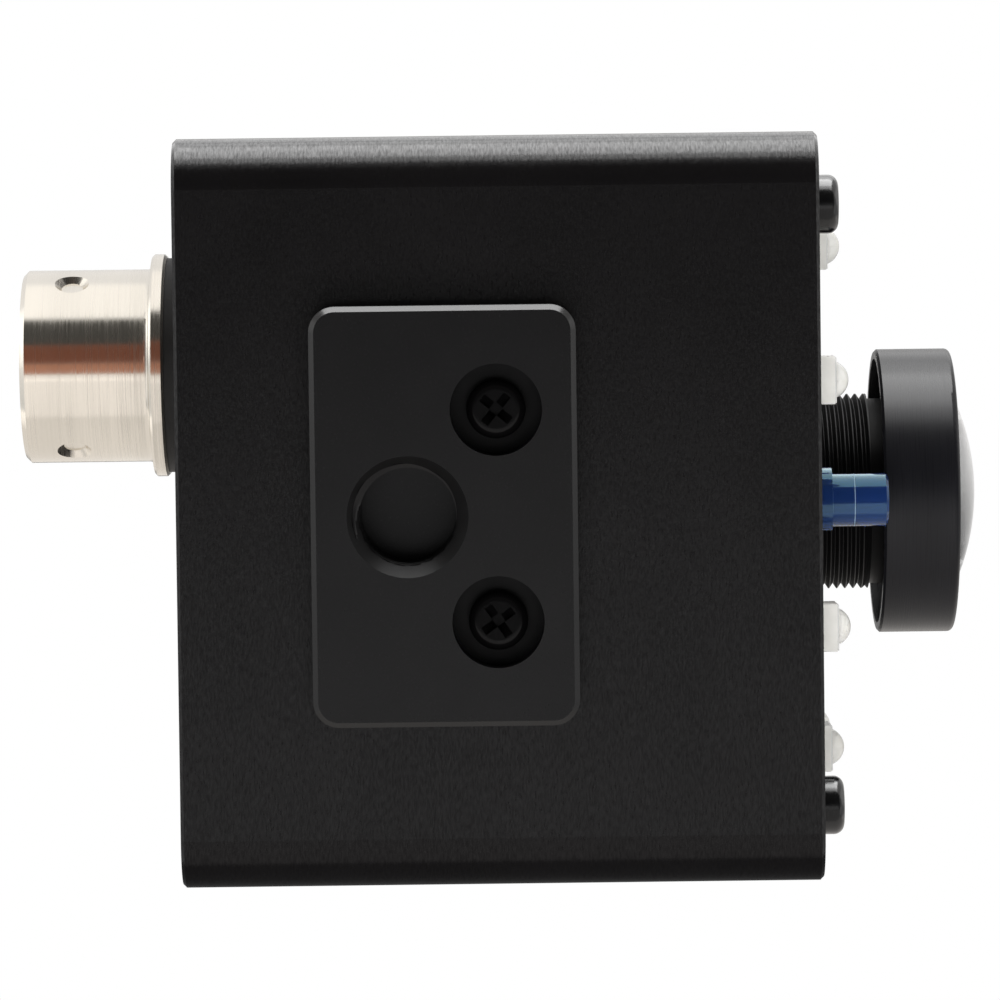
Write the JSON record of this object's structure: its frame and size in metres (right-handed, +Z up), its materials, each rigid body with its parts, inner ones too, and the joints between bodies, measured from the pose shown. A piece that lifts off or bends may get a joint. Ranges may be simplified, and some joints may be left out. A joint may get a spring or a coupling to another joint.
{
  "type": "fisheye usb camera",
  "caption": "Square metal camera with a wide-angle lens, infrared lamps and a light sensor in front, a round data socket behind and a tripod plate underneath.",
  "frame": {"origin": "on the axis of the tripod thread, at the outer face of the tripod plate", "axes": "+X along the lens axis, the way the lens looks; +Z up, away from the tripod plate; +Y completes the right-handed frame, and the rear socket is on the -Y side"},
  "size_m": [0.0584, 0.0438, 0.0473],
  "materials": {
    "black_anodised": "black anodised, satin",
    "black_screw": "black zinc plated, glossy",
    "steel_screw": "bright",
    "black_circuit_board": "black solder mask",
    "green_circuit_board": "green solder mask",
    "lamp_base": "cream moulded",
    "lamp_dome": "clear cast resin",
    "sensor_epoxy": "clear bluish cast resin",
    "tinned_lead": "tinned",
    "chip_resistor": "glazed ceramic",
    "brass": "turned",
    "chip_body": "moulded epoxy",
    "crystal_can": "drawn can",
    "chip_capacitor": "ceramic",
    "black_plastic": "moulded",
    "lens_black": "black anodised, satin",
    "lens_glass": "polished and coated",
    "filter_glass": "polished and coated",
    "nickel_plated": "nickel plated, turned",
    "gold_plated": "gold plated",
    "gasket_rubber": "moulded",
    "header_plastic": "moulded",
    "wire_black": "extruded insulation",
    "wire_green": "extruded insulation",
    "wire_white": "extruded insulation",
    "wire_red": "extruded insulation"
  },
  "bodies": {
    "camera": {"housing_tube": "black_anodised", "rear_panel": "black_anodised", "tripod_plate": "black_anodised", "tripod_bush": "black_anodised", "tripod_plate_screws": "black_screw", "front_board_screws": "black_screw", "rear_panel_screws": "black_screw", "main_board_screws": "steel_screw", "lens_holder_screws": "steel_screw", "led_board": "black_circuit_board", "main_board": "green_circuit_board", "ir_led_bases": "lamp_base", "ir_led_domes": "lamp_dome", "light_sensor": "sensor_epoxy", "light_sensor_leads": "tinned_lead", "led_board_resistors": "chip_resistor", "board_standoffs": "brass", "image_processor": "chip_body", "flash_memory_chip": "chip_body", "image_sensor": "chip_body", "crystal_oscillator": "crystal_can", "chip_capacitors": "chip_capacitor", "lens_holder": "black_plastic", "connector_insert": "black_plastic", "sensor_cover_glass": "lens_glass", "ir_filter": "filter_glass", "connector_shell": "nickel_plated", "connector_nut": "nickel_plated", "connector_lock_washer": "nickel_plated", "connector_pins": "gold_plated", "connector_gasket": "gasket_rubber", "usb_header": "header_plastic", "usb_plug": "header_plastic", "led_header": "header_plastic", "led_plug": "header_plastic", "led_board_socket": "header_plastic", "led_board_plug": "header_plastic", "usb_wire_black": "wire_black", "led_wire_black": "wire_black", "usb_wire_green": "wire_green", "usb_wire_white": "wire_white", "usb_wire_red": "wire_red", "led_wire_red": "wire_red"},
    "lens": {"lens_barrel": "lens_black", "lens_front_ring": "lens_black", "lens_front_glass": "lens_glass", "lens_second_glass": "lens_glass", "lens_spacer": "lens_black", "lens_third_glass": "lens_glass", "lens_aperture_stop": "lens_black", "lens_rear_glass": "lens_glass", "lens_rear_retainer": "lens_black"}
  },
  "joints": [
    {"name": "lens_focus", "type": "hinge", "parent": "camera", "child": "lens", "pos_m": [0.024, 0, 0.0254], "axis": [1, 0, 0], "range_deg": [-180, 180]}
  ]
}
